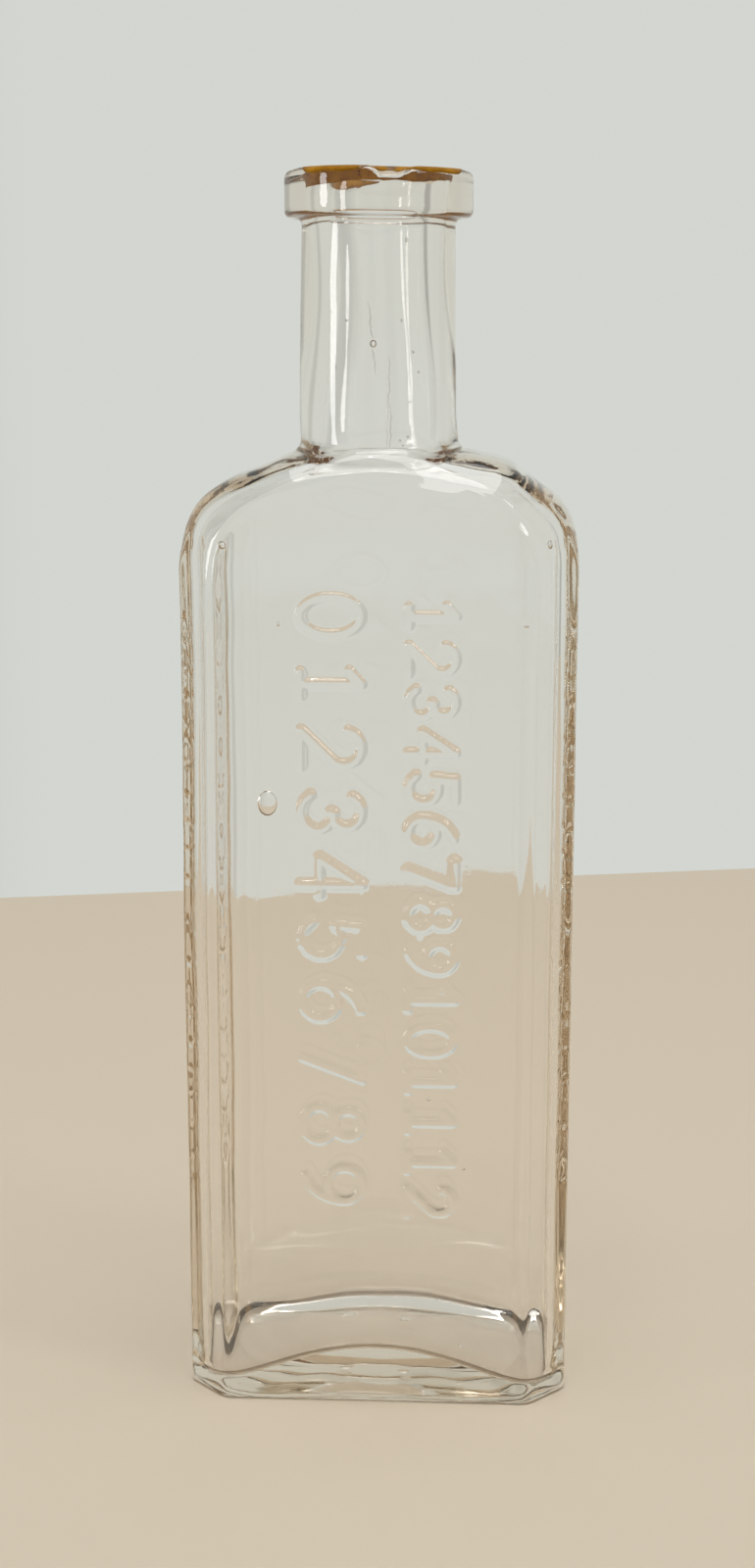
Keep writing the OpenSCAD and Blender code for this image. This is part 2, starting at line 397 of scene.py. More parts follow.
def crease_widths():
    """How far each point is smoothed along its column, in mm."""
    frontness = np.abs(outer_walls[:, 1])
    width = np.full((ring_count, column_count), 0.25)

    # The turn of the shoulder, the foot of the neck, the fillet, and the lip without its edges.
    turn_start, turn_end = shoulder_start - 4, shoulder_start + SHOULDER_STEPS
    fade = np.interp(np.arange(turn_end - turn_start), [14, 15, 21], [1, 0.9, 0.3])
    by_front = 0.7 + 2.2 * np.clip((frontness - 8) / 7, 0, 1)
    width[turn_start:turn_end] = fade[:, None] * by_front
    width[turn_end:turn_end + 8] = 0.4
    width[outer_end - 6:outer_end] = 0.2
    width[outer_end + 4:inner_start - 6] = 0.08

    # The bore and the turn below it, the floor, and the two ends, which stay where they are.
    bore_end = inner_start + BORE_RINGS
    hollow_top = slice(bore_end - 3, bore_end + HOLLOW_STEPS + 3)
    gather = np.interp(ring_index[hollow_top] - bore_end, [1, 7], [0, 1])
    width[inner_start + 3:hollow_top.stop] = 2.0
    width[hollow_top] += 2.5 * gather[:, None] * np.clip((frontness - 8) / 5, 0, 1)
    width[-16:] = 0.5
    width[0] = width[-1] = 0.01
    return width


def smooth_columns(skin, width):
    """Each column smoothed along its own length."""
    smooth = skin.copy()
    for c in range(column_count):
        path = skin[:, c]
        steps = np.linalg.norm(np.diff(path, axis=0), axis=1)
        along = np.concatenate([[0], np.cumsum(steps)])
        share = (np.concatenate([[0], steps]) + np.concatenate([steps, [0]])) / 2
        weight = share * np.exp(-0.5 * ((along[:, None] - along) / width[:, c, None]) ** 2)
        smooth[:, c] = weight @ path / weight.sum(axis=1, keepdims=True)
    return smooth


skin = smooth_columns(skin, crease_widths())
print("skin of", ring_count, "rings by", column_count, "columns")

# %% [markdown]
# ## What the blower's hand left
# No two such bottles are alike. On this one the neck stands a little to the left, the left wall
# leans in near its top, the shoulder's corners stand a little high, and there is a low hump beside
# the neck on the right. Each is a soft window in height times a soft window across, in mm, and
# moves the outside and the inside together, so the wall keeps its thickness.

# %% Lean and sag


def bump(value, middle, width):
    """A smooth hill, 1 at the middle."""
    return np.exp(-0.5 * ((value - middle) / width) ** 2)


def ramp(value, start, end):
    """A smooth rise from 0 at start to 1 at end."""
    t = np.clip((value - start) / (end - start), 0, 1)
    return t * t * (3 - 2 * t)


x, y, z = (skin[..., k].copy() for k in range(3))
wall_band = ramp(z, 60, 112) * (1 - ramp(z, 114, 124))
turn_band = ramp(z, 112, 120) * (1 - ramp(z, 126, 131))
slope_band = ramp(z, 124, 131) * (1 - ramp(z, 136, 140))
left_wall, left_corner, right_corner = ramp(-x, 8, 24), ramp(-x, 20, 24), ramp(x, 21, 26)
left_slope, right_slope = ramp(-x, 9, 12), ramp(x, 9, 12) * (1 - ramp(x, 18, 22))
hump = bump(x, 16.8, 2.4)
skin[..., 0] += 0.22 * wall_band * left_wall
skin[..., 2] += turn_band * (0.4 * left_corner + 0.95 * right_corner)
skin[..., 2] += slope_band * (0.22 * left_slope + 0.28 * right_slope + 1.1 * hump)


def neck_lean(z):
    """How far the neck and lip stand to the left of the middle."""
    return -0.45 * ramp(z, 131, 140) + 0.12 * ramp(z, 155, 168)


def lip_tilt(x, y):
    """How far the lip dips and rises around the neck."""
    return 0.12 * np.sin(2 * np.arctan2(y, x) + 0.6) - 0.1


skin[..., 0] += neck_lean(z)
skin[..., 2] += ramp(z, lip_z - 3, lip_z) * lip_tilt(x, y)
print("the lip stands", round(-float(neck_lean(total_h)), 2), "mm to the left of the middle")

# %% Measure the normals of the skin


def skin_normals(skin):
    """Outward normals, from the neighbours of each point."""
    along_ring = np.roll(skin, -1, axis=1) - np.roll(skin, 1, axis=1)
    along_column = np.gradient(skin, axis=0)
    normal = np.cross(along_ring, along_column)
    return normal / np.linalg.norm(normal, axis=2, keepdims=True).clip(1e-9)


normals = skin_normals(skin)
halfway = np.argmin(np.abs(skin[:shoulder_start, 0, 2] - body_h / 2))
in_front = np.argmin(np.abs(skin[halfway, :, 0]) + skin[halfway, :, 1])
print("normal in the middle of the front panel:", np.round(normals[halfway, in_front], 2))

# %% [markdown]
# ## Uneven glass
# The outside takes the texture of the mould, which is nearly flat with a faint ripple. The inside
# never touched anything, so its ripples are larger and longer. Each point is moved along its
# normal by smooth noise, and the neck gets long upright ripples from the tool that turned it.

# %% Ripples


def lumps(points, size, seed):
    """Smooth noise for each point, from about -1 to 1, with lumps of the given size in mm."""
    flat = points.reshape(-1, 3) / size + seed
    return np.array([noise.noise(Vector(p)) for p in flat]).reshape(points.shape[:-1])


x, y, z = (skin[..., k] for k in range(3))
pole_fade = np.minimum(np.minimum(ring_index, ring_count - 1 - ring_index) / 6, 1)[:, None]
on_neck = ramp(z, 134, 138)

upright = skin * np.array([1, 1, 0.12])
ripple = 0.08 * lumps(skin, 17, 3.1) + 0.04 * lumps(skin, 6.5, 7.7) + 0.008 * lumps(skin, 2.4, 1.3)
flow = 0.22 * lumps(skin, 24, 11.3) + 0.07 * lumps(skin, 9, 5.9)
streaks = 0.06 * lumps(upright, 3.6, 2.2) + 0.012 * lumps(upright, 1.5, 8.4)
above_rim = ramp(z, 0.8, 6)
shift = np.where(is_inside, flow * (1 - 0.5 * on_neck) + 1.1 * streaks * on_neck,
                 ripple * above_rim + 0.8 * streaks * on_neck) * pole_fade
print("ripples of up to", round(float(np.abs(shift).max()), 2), "mm")

# %% [markdown]
# ## Raised marks
# Such a bottle carries raised marks on its front and side panels, because they were cut into the
# mould. Here they are plain counting numbers, which read from the top down. Each numeral is a set
# of strokes in a box one unit high, and the glass rises wherever a point is near a stroke.

# %% Strokes of the numerals
NUMERAL_W = 0.62


def curve(cx, cy, rx, ry, start, end, steps=10):
    """Points along an oval arc, anticlockwise with angles in degrees."""
    return [(cx + rx * math.cos(a), cy + ry * math.sin(a))
            for a in np.radians(np.linspace(start, end, steps + 1))]


NUMERALS = {
    "0": [curve(0.31, 0.5, 0.31, 0.5, 0, 360, 24)],
    "1": [[(0.12, 0.8), (0.34, 1.0), (0.34, 0.0)], [(0.14, 0.0), (0.54, 0.0)]],
    "2": [curve(0.31, 0.71, 0.29, 0.29, 165, -35) + [(0.02, 0.0), (0.62, 0.0)]],
    "3": [curve(0.3, 0.75, 0.27, 0.25, 155, -90), curve(0.3, 0.27, 0.31, 0.27, 85, -155)],
    "4": [[(0.46, 0.0), (0.46, 1.0), (0.0, 0.3), (0.62, 0.3)]],
    "5": [[(0.56, 1.0), (0.1, 1.0), (0.06, 0.56)], curve(0.29, 0.32, 0.32, 0.32, 120, -150)],
    "6": [curve(0.31, 0.3, 0.3, 0.3, 0, 360, 20), curve(0.62, 0.32, 0.61, 0.68, 180, 105)],
    "7": [[(0.02, 1.0), (0.6, 1.0), (0.22, 0.0)]],
    "8": [curve(0.31, 0.76, 0.24, 0.24, 0, 360, 18), curve(0.31, 0.27, 0.3, 0.27, 0, 360, 20)],
    "9": [curve(0.31, 0.7, 0.3, 0.3, 0, 360, 20), curve(0.0, 0.68, 0.61, 0.68, 0, -75)],
}
print(len(NUMERALS), "numerals of", sum(len(s) for s in NUMERALS.values()), "strokes")

# %% Height of the marks over a panel
STROKE_EDGE = 0.74  # half the width of a stroke, in mm
PANEL_SLACK = 0.45  # how far from flat a panel may be and still take marks


def distance_to_stroke(u, v, stroke):
    """Shortest distance from each point (u, v) to a stroke's segments."""
    nearest = np.full(u.shape, 1e9)
    for (u0, v0), (u1, v1) in zip(stroke, stroke[1:]):
        du, dv = u1 - u0, v1 - v0
        along = np.clip(((u - u0) * du + (v - v0) * dv) / (du * du + dv * dv + 1e-12), 0, 1)
        nearest = np.minimum(nearest, np.hypot(u - u0 - along * du, v - v0 - along * dv))
    return nearest


def reach_of_numerals(across, down, text, foot, height, top, pitch):
    """Distance in mm to the nearest stroke of numerals that read downwards from top."""
    reach = np.full(across.shape, 9.0)
    for k, numeral in enumerate(text):
        start = top - k * pitch
        near = (down < start + 3) & (down > start - height * NUMERAL_W - 3)
        near &= (across > foot - 3) & (across < foot + height + 3)
        u, v = (start - down[near]) / height, (across[near] - foot) / height
        strokes = [distance_to_stroke(u, v, stroke) for stroke in NUMERALS[numeral]]
        reach[near] = np.minimum(reach[near], height * np.minimum.reduce(strokes))
    return reach


def reach_of_marks(points):
    """Distance in mm from each point to the nearest raised stroke, and which way it is raised."""
    x, y, z = points.T
    reach, lift = np.full(x.shape, 9.0), np.zeros(points.shape)
    front = y < PANEL_SLACK - half_d
    left_line = reach_of_numerals(x, z, "0123456789", foot=-10.0, height=8.2,
                                  top=115.8, pitch=8.9)
    right_line = reach_of_numerals(x, z, "123456789101112", foot=4.5, height=6.3,
                                   top=115.4, pitch=5.9)
    reach[front], lift[front] = np.minimum(left_line, right_line)[front], (0, -1, 0)
    for side in (-1, 1):
        on_side = side * x > half_w - 2 * PANEL_SLACK
        side_line = reach_of_numerals(side * y, z, "24681012141618", foot=-3.3, height=6.6,
                                      top=112.5, pitch=6.1)
        reach[on_side], lift[on_side] = side_line[on_side], (side, 0, 0)
    return reach, lift


print("strokes are", 2 * STROKE_EDGE, "mm wide at their foot")

# %% [markdown]
# ## A chip in the lip
# The lip has lost a flake from its front edge, and its top is a little rough. Both are small, but
# light picks them out.

# %% Flake off the lip
FLAKE_X, FLAKE_HALF_W = 1.9, 2.3
FLAKE_DEEP, FLAKE_BACK = 0.75, 0.25  # how far the glass is gone, down and back
ROUGH_TOP = 0.16


def flake_share(x, y):
    """The flake's share of its full depth, which is flat in its middle and ends on the lip."""
    across = np.exp(-np.abs((x - FLAKE_X) / FLAKE_HALF_W) ** 4)
    return across * ramp(np.hypot(x, y), 10.2, 11.9)


skin = skin + normals * shift[..., None]
x, y, z = (skin[..., k].copy() for k in range(3))

on_lip = ((ring_index >= outer_end) & (ring_index < inner_start))[:, None]
front_top = on_lip * (y < 0) * ramp(z, total_h - 1.7, total_h - 0.3)
flake = front_top * flake_share(x, y)
skin[..., 2] -= FLAKE_DEEP * flake * (1 + 0.45 * lumps(skin, 1.3, 9.2))
skin[..., 1] += FLAKE_BACK * flake
rough = on_lip * (np.hypot(x, y) > 8.6) * ramp(z, total_h - 1.4, total_h)
skin[..., 2] += rough * ROUGH_TOP * lumps(skin, 2.6, 4.4)
print("flake of", round(FLAKE_DEEP * float(flake.max()), 2), "mm off the lip")

# %% [markdown]
# ## Seeds, blisters and air lines
# Gas trapped in the melt leaves seeds, which are small bubbles, and blisters, which are large flat
# ones. Where the neck was drawn out, seeds were drawn out with it into air lines as thin as a
# hair. Each is an inner surface of the same solid: a small closed shell inside the wall whose
# normals point into the bubble, away from the glass.

# %% Bubble shapes
BUBBLES = [  # x, y, z of the middle, then the half sizes along x, y, z
    (-14.7, -14.75, 87.5, 1.35, 0.42, 1.75),
    (-0.55, -9.9, 148.7, 0.42, 0.3, 0.5),
    (-20.3, -14.6, 122.4, 0.45, 0.3, 0.5),
    (23.0, -13.5, 122.6, 0.4, 0.3, 0.6),
    (20.1, -14.7, 111.9, 0.35, 0.18, 0.2),
    (-13.0, -14.6, 112.0, 0.2, 0.15, 0.3),
    (3.7, -9.3, 162.0, 0.15, 0.1, 0.38),
    (-4.0, -9.2, 151.7, 0.15, 0.12, 0.2),
    (3.1, -9.5, 151.7, 0.12, 0.1, 0.2),
    (4.6, -8.9, 147.6, 0.16, 0.12, 0.16),
    (5.3, -8.5, 145.0, 0.12, 0.1, 0.16),
    (-5.4, -8.4, 145.6, 0.1, 0.1, 0.22),
    (4.2, -9.1, 141.1, 0.26, 0.1, 0.1),
    (3.9, -9.2, 136.5, 0.15, 0.12, 0.15),
    (2.9, -9.6, 136.0, 0.16, 0.12, 0.16),
    (3.3, -9.5, 135.3, 0.12, 0.1, 0.12),
    (12.6, 14.8, 24.0, 0.3, 0.2, 0.25),
    (7.4, -14.6, 45.5, 0.25, 0.15, 0.25),
    (-4.9, 2.5, 4.2, 1.1, 0.9, 0.5),
    (3.6, 1.0, 4.4, 0.9, 0.8, 0.45),
    (12.0, -4.5, 3.2, 0.5, 0.5, 0.3),
]
AIR_LINES = [  # half the width, then points along the line
    (0.085, [(-1.2, -9.9, 154.2), (-0.9, -10.0, 152.0), (-0.8, -10.0, 149.9),
             (-0.55, -10.0, 149.2)]),
    (0.085, [(-0.55, -10.0, 148.2), (-0.5, -10.0, 147.4), (-0.4, -10.0, 146.1),
             (-0.2, -10.0, 144.7)]),
    (0.08, [(1.5, -9.9, 147.1), (1.55, -9.9, 145.0), (1.45, -9.9, 142.4), (1.3, -9.9, 139.2),
            (1.2, -9.9, 134.9)]),
    (0.08, [(1.6, -9.9, 141.1), (1.75, -9.9, 138.6), (1.6, -9.9, 134.9)]),
]


def hollow_out(shape, verts):
    """Turns the normals of a closed shell inwards, so that it bounds a hole in the glass."""
    faces = list({face for vert in verts for face in vert.link_faces})
    bmesh.ops.recalc_face_normals(shape, faces=faces)
    bmesh.ops.reverse_faces(shape, faces=faces)


def add_bubble(shape, middle, half_sizes):
    """A small oval bubble."""
    fineness = 3 if max(half_sizes) > 0.4 else 2
    verts = bmesh.ops.create_icosphere(shape, subdivisions=fineness, radius=1)["verts"]
    for vert in verts:
        vert.co = Vector(c + s * v for c, s, v in zip(middle, half_sizes, vert.co))
    hollow_out(shape, verts)


def add_air_line(shape, thick, path, steps=30):
    """A tube along a path, which tapers and wanders a little."""
    at = np.linspace(0, len(path) - 1, steps)
    px, py, pz = (np.interp(at, range(len(path)), values) for values in zip(*path))
    px = px + 0.06 * np.sin(1.9 * pz) + 0.04 * np.sin(5.3 * pz)
    rings = []
    for k in range(steps):
        r = thick * math.sin(math.pi * (k + 0.5) / steps) ** 0.6
        rings.append([shape.verts.new((px[k] + r * math.cos(a), py[k] + r * math.sin(a), pz[k]))
                      for a in np.radians(range(0, 360, 60))])
    for ring, after in zip(rings, rings[1:]):
        for i in range(6):
            n = (i + 1) % 6
            shape.faces.new((ring[i], ring[n], after[n], after[i]))
    shape.faces.new(rings[0])
    shape.faces.new(rings[-1])
    hollow_out(shape, [vert for ring in rings for vert in ring])


print(len(BUBBLES), "bubbles and", len(AIR_LINES), "air lines")

# %% [markdown]
# ## The glass as one mesh
# The lip was fused to the neck while both were soft, so no surface is left between them. A ray
# tracer would bend light at any surface that was left there, and the joint would show as a false
# ring. So the glass is one closed mesh, which stands for both CAD pieces.

# %% Build the glass


def skin_faces():
    """Quads between neighbouring rings, and a fan at each end."""
    first, last = ring_count * column_count, ring_count * column_count + 1
    faces = []
    for c in range(column_count):
        n = (c + 1) % column_count
        faces.append((first, n, c))
        for r in range(ring_count - 1):
            a, b = r * column_count, (r + 1) * column_count
            faces.append((a + c, a + n, b + n, b + c))
        a = (ring_count - 1) * column_count
        faces.append((a + c, a + n, last))
    return faces


MARK_RELIEF, SIDE_RELIEF = 0.6, 0.1
FINE_MARGIN = 0.75  # the mesh is made finer this far around each stroke

poles = np.array([skin[0].mean(axis=0), skin[-1].mean(axis=0)])
points = np.vstack([skin.reshape(-1, 3), poles])
glass_mesh = bpy.data.meshes.new("bottle_glass")
glass_mesh.from_pydata(points.tolist(), [], skin_faces())

shape = bmesh.new()
shape.from_mesh(glass_mesh)

centres = np.array([face.calc_center_median() for face in shape.faces])
marked = reach_of_marks(centres)[0] < STROKE_EDGE + FINE_MARGIN
edges = {edge for face, use in zip(list(shape.faces), marked) if use for edge in face.edges}
bmesh.ops.subdivide_edges(shape, edges=list(edges), cuts=3, use_grid_fill=True)
reach, lift = reach_of_marks(np.array([vert.co for vert in shape.verts]))
relief = np.where(lift[:, 0] == 0, MARK_RELIEF, SIDE_RELIEF)
raised = relief * np.sqrt(np.maximum(0, 1 - (reach / STROKE_EDGE) ** 2))
for vert, height, way in zip(shape.verts, raised, lift):
    if height > 0:
        vert.co += Vector(height * way)
print("marks stand", round(float(raised.max()), 2), "mm proud, on", int(marked.sum()), "faces")

for bubble in BUBBLES:
    add_bubble(shape, bubble[:3], bubble[3:])
for thick, path in AIR_LINES:
    add_air_line(shape, thick, path)
bmesh.ops.scale(shape, vec=(MM, MM, MM), verts=shape.verts)
shape.to_mesh(glass_mesh)
shape.free()
glass_mesh.shade_smooth()

bottle_glass = bpy.data.objects.new("bottle_glass", glass_mesh)
bpy.context.collection.objects.link(bottle_glass)
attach(bottle_glass, "root")
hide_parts("glass_body", "applied_lip")
print("bottle_glass:", sum(len(p.vertices) - 2 for p in glass_mesh.polygons), "triangles")

# %% [markdown]
# ## The stain at the mouth
# What the bottle once held dried round the mouth and left an amber film. It runs over the lip's
# top and into the mouth, spills over the rounded edge in front, and draws back from the missing
# flake. It is a thin closed shell that is sunk partly into the glass, so it can be seen both from
# above and, through the glass, from below. Its edges are ragged, so each column of the shell
# starts and ends at its own place along the lip's profile.

# %% Build the mouth stain
STAIN_COLUMNS, STAIN_ROWS = 160, 14
STAIN_THICK = 0.14
FLAT_RUN = lip_r - top_round - bore_r - mouth_round


def mouth_profile(run):
    """The point (r, z) and its outward normal, at a run in mm inwards from the rounded edge."""
    if run < 0:
        turned = -run / top_round
        way = (math.sin(turned), math.cos(turned))
        return (lip_r - top_round * (1 - way[0]), total_h - top_round * (1 - way[1])), way
    if run < FLAT_RUN:
        return (lip_r - top_round - run, total_h), (0.0, 1.0)
    turned = (run - FLAT_RUN) / mouth_round
    if turned < math.pi / 2:
        way = (-math.sin(turned), math.cos(turned))
        return (bore_r + mouth_round * (1 + way[0]), total_h - mouth_round * (1 - way[1])), way
    down = run - FLAT_RUN - mouth_round * math.pi / 2
    return (bore_r, total_h - mouth_round - down), (-1.0, 0.0)


def uneven_lip(point):
    """The place of a point of the lip's top once the lip has been made uneven."""
    px, py, pz = point
    px += float(neck_lean(pz))
    pz += float(lip_tilt(px, py))
    dip = float(flake_share(px, py)) if py < 0 else 0.0
    return Vector((px, py + FLAKE_BACK * dip, pz - FLAKE_DEEP * dip))


def film_ends(way):
    """The runs in mm where the film starts and ends, in one direction from the neck's axis."""
    by_flake = bump(way.x * 12, FLAKE_X, 2.2) if way.y < 0 else 0.0
    spill = (1 - ramp(abs(lip_r * way.x - 0.8), 10.0, 11.8)) * ramp(-way.y, 0, 0.3)
    start = (0.15 + 0.3 * noise.noise(4 * way + Vector((5, 0, 0)))
             - 1.55 * float(spill) + 1.7 * by_flake)
    drips = 0.5 * bump(way.x, -0.95, 0.3) + 0.3 * bump(way.x, 0.7, 0.2)
    end = (FLAT_RUN + 2.6 - 0.2 * way.x + drips + 0.22 * by_flake
           + 0.12 * noise.noise(3 * way) + 0.08 * noise.noise(11 * way))
    return start, end


def film_sheet(shape, offset):
    """One side of the film: a row of vertices for each column, at an offset from the glass."""
    sheet = []
    for i in range(STAIN_COLUMNS):
        turn = 2 * math.pi * i / STAIN_COLUMNS
        way = Vector((math.cos(turn), math.sin(turn), 0))
        row = []
        for run in np.linspace(*film_ends(way), STAIN_ROWS):
            (r, height), (out_r, out_z) = mouth_profile(run)
            place = way * (r + offset * out_r) + Vector((0, 0, height + offset * out_z))
            row.append(shape.verts.new(MM * uneven_lip(place)))
        sheet.append(row)
    return sheet


stain = bmesh.new()
low = film_sheet(stain, -0.7 * STAIN_THICK)
high = film_sheet(stain, 0.3 * STAIN_THICK)
for i in range(STAIN_COLUMNS):
    n = (i + 1) % STAIN_COLUMNS
    for j in range(STAIN_ROWS - 1):
        stain.faces.new((high[i][j], high[i][j + 1], high[n][j + 1], high[n][j]))
        stain.faces.new((low[n][j], low[n][j + 1], low[i][j + 1], low[i][j]))
    stain.faces.new((low[i][-1], low[n][-1], high[n][-1], high[i][-1]))
    stain.faces.new((low[n][0], low[i][0], high[i][0], high[n][0]))
bmesh.ops.recalc_face_normals(stain, faces=stain.faces)

stain_mesh = bpy.data.meshes.new("mouth_stain")
stain.to_mesh(stain_mesh)
stain.free()
stain_mesh.shade_smooth()
mouth_stain = bpy.data.objects.new("mouth_stain", stain_mesh)
bpy.context.collection.objects.link(mouth_stain)
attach(mouth_stain, "root")
print("mouth_stain:", len(stain_mesh.polygons), "faces")

# %% [markdown]
# ## Shader helpers
# A mask that more than one finish uses is a node group with named inputs and outputs. This one
# gives a cloudy value, which is drawn from noise in two sizes, and each finish sets its own
# scale. Coordinates are the object's own, so the pattern stays put on the glass.

# %% Cloudy mask group


def cloudy_group():
    """A node group that puts out a soft cloudy value and a fine speckle."""
    group = bpy.data.node_groups.new("Cloudy film", "ShaderNodeTree")
    sockets = group.interface
    cloud_size = sockets.new_socket("Cloud Scale", in_out="INPUT", socket_type="NodeSocketFloat")
    cloud_size.default_value = 60.0
    speck_size = sockets.new_socket("Speck Scale", in_out="INPUT", socket_type="NodeSocketFloat")
    speck_size.default_value = 900.0
    sockets.new_socket("Cloud", in_out="OUTPUT", socket_type="NodeSocketFloat")
    sockets.new_socket("Specks", in_out="OUTPUT", socket_type="NodeSocketFloat")
    nodes, links = group.nodes, group.links
    start, end = nodes.new("NodeGroupInput"), nodes.new("NodeGroupOutput")
    place = nodes.new("ShaderNodeTexCoord")
    for source, target, detail, low, high in (("Cloud Scale", "Cloud", 4.0, 0.35, 0.68),
                                              ("Speck Scale", "Specks", 2.0, 0.60, 0.74)):
        field = nodes.new("ShaderNodeTexNoise")
        field.inputs["Detail"].default_value = detail
        curve_up = nodes.new("ShaderNodeMapRange")
        curve_up.interpolation_type = "SMOOTHSTEP"
        curve_up.inputs["From Min"].default_value = low
        curve_up.inputs["From Max"].default_value = high
        links.new(place.outputs["Object"], field.inputs["Vector"])
        links.new(start.outputs[source], field.inputs["Scale"])
        links.new(field.outputs["Fac"], curve_up.inputs["Value"])
        links.new(curve_up.outputs["Result"], end.inputs[target])
    return group


CLOUDY = cloudy_group()
print("group:", CLOUDY.name)

# %% Material helpers


def new_material(name):
    """A material with only its output and a Principled shader, and its node tree."""
    material = bpy.data.materials.new(name)
    material.use_nodes = True
    tree = material.node_tree
    tree.nodes.clear()
    surface = tree.nodes.new("ShaderNodeBsdfPrincipled")
    output = tree.nodes.new("ShaderNodeOutputMaterial")
    tree.links.new(surface.outputs["BSDF"], output.inputs["Surface"])
    return material, tree, surface, output


def cloudy(tree, cloud_scale, speck_scale):
    """The cloudy group placed in a material, with that material's own sizes."""
    node = tree.nodes.new("ShaderNodeGroup")
    node.node_tree = CLOUDY
    node.inputs["Cloud Scale"].default_value = cloud_scale
    node.inputs["Speck Scale"].default_value = speck_scale
    return node


def remap(tree, value, low, high):
    """A value from 0 to 1 stretched to run from low to high."""
    node = tree.nodes.new("ShaderNodeMapRange")
    node.inputs["To Min"].default_value = low
    node.inputs["To Max"].default_value = high
    tree.links.new(value, node.inputs["Value"])
    return node.outputs["Result"]


def blend_colours(tree, factor, first, second):
    """A colour that goes from the first to the second with a factor from 0 to 1."""
    node = tree.nodes.new("ShaderNodeMix")
    node.data_type = "RGBA"
    tree.links.new(factor, node.inputs["Factor"])
    for socket, colour in ((node.inputs["A"], first), (node.inputs["B"], second)):
        if isinstance(colour, tuple):
            socket.default_value = (*colour, 1)
        else:
            tree.links.new(colour, socket)
    return node.outputs["Result"]


def bumped(tree, surface, height, distance):
    """Bump from a height from 0 to 1, over a distance in metres."""
    node = tree.nodes.new("ShaderNodeBump")
    node.inputs["Distance"].default_value = distance
    tree.links.new(height, node.inputs["Height"])
    tree.links.new(node.outputs["Normal"], surface.inputs["Normal"])


print("material helpers ready")

# %% [markdown]
# ## Clear old glass
# Old clear glass is a little grey and warm, which shows only where light goes through a lot of
# it, so its colour is an absorption inside the volume rather than a paint on its surface. Years
# of handling left a very faint haze on the outside.

# %% Glass
GLASS_TINT, GLASS_DENSITY = (0.66, 0.47, 0.17), 16.0
glass, tree, surface, output = new_material("Clear old glass")
surface.inputs["Base Color"].default_value = (1.0, 1.0, 1.0, 1)
surface.inputs["Transmission Weight"].default_value = 1.0
surface.inputs["IOR"].default_value = 1.5
haze = cloudy(tree, 70.0, 1500.0)
tree.links.new(remap(tree, haze.outputs["Cloud"], 0.0, 0.035), surface.inputs["Roughness"])
bumped(tree, surface, haze.outputs["Specks"], 0.0000015)
absorb = tree.nodes.new("ShaderNodeVolumeAbsorption")
absorb.inputs["Color"].default_value = (*GLASS_TINT, 1)
absorb.inputs["Density"].default_value = GLASS_DENSITY
tree.links.new(absorb.outputs["Volume"], output.inputs["Volume"])
glass_mesh.materials.append(glass)
over_two_walls = math.exp(-GLASS_DENSITY * (1 - GLASS_TINT[1]) * 2 * panel_wall * MM)
print("two walls take", round(100 * (1 - over_two_walls)), "% of green light")

# %% [markdown]
# ## Dried residue
# The film is dark amber where it is thick and paler where it is thin, with fine specks. It has a
# slight gloss, as dried gum has.

# %% Stain
amber, tree, surface, _ = new_material("Dried amber film")
film = cloudy(tree, 420.0, 2600.0)
thick = blend_colours(tree, film.outputs["Cloud"], (0.27, 0.11, 0.0), (0.42, 0.19, 0.002))
specked = blend_colours(tree, film.outputs["Specks"], thick, (0.12, 0.035, 0.001))
surface.inputs["Specular IOR Level"].default_value = 0.1
tree.links.new(specked, surface.inputs["Base Color"])
tree.links.new(remap(tree, film.outputs["Specks"], 0.42, 0.7), surface.inputs["Roughness"])
bumped(tree, surface, film.outputs["Cloud"], 0.00006)
stain_mesh.materials.append(amber)
print("stain material:", amber.name)

# %% [markdown]
# ## Floor and surroundings
# Clear glass shows only what is around it. In an evenly lit room it would all but vanish, so the
# surroundings are pale behind the bottle, with soft darker gaps between the pale parts and a
# dimmer ceiling. The edges of the glass bend those darker parts into view as fine dark lines.
# The floor ends behind the bottle like a table, so the pale wall shows above its far edge. The
# room is drawn from the direction alone: four gaps around it, weaker straight behind.

# %% Floor
FLOOR_W, FLOOR_FRONT, FLOOR_BACK = 1.7, -0.95, 0.283
floor_turn = math.radians(12)
corners = [(-FLOOR_W / 2, FLOOR_FRONT), (FLOOR_W / 2, FLOOR_FRONT),
           (FLOOR_W / 2, FLOOR_BACK), (-FLOOR_W / 2, FLOOR_BACK)]
floor_mesh = bpy.data.meshes.new("floor")
turned = [(x * math.cos(floor_turn) - y * math.sin(floor_turn),
           x * math.sin(floor_turn) + y * math.cos(floor_turn), 0) for x, y in corners]
floor_mesh.from_pydata(turned, [], [(0, 1, 2, 3)])
floor = bpy.data.objects.new("floor", floor_mesh)
bpy.context.collection.objects.link(floor)
floor_material, tree, surface, _ = new_material("Pale floor")
surface.inputs["Base Color"].default_value = (0.60, 0.51, 0.41, 1)
surface.inputs["Roughness"].default_value = 0.6
surface.inputs["Specular IOR Level"].default_value = 0.2
floor_mesh.materials.append(floor_material)
print("floor:", FLOOR_W, "m wide")

# %% Surroundings
world = bpy.data.worlds.new("Pale room")
bpy.context.scene.world = world
world.use_nodes = True
tree = world.node_tree
tree.nodes.clear()


def step(kind, *values):
    """A Math node on sockets or numbers."""
    node = tree.nodes.new("ShaderNodeMath")
    node.operation = kind
    for socket, value in zip(node.inputs, values):
        if isinstance(value, (int, float)):
            socket.default_value = value
        else:
            tree.links.new(value, socket)
    return node.outputs["Value"]


def soft_step(value, low, high):
    """0 where the value is at low and 1 where it is at high, with a smooth rise between."""
    node = tree.nodes.new("ShaderNodeMapRange")
    node.interpolation_type = "SMOOTHSTEP"
    node.inputs["From Min"].default_value = low
    node.inputs["From Max"].default_value = high
    tree.links.new(value, node.inputs["Value"])
    return node.outputs["Result"]


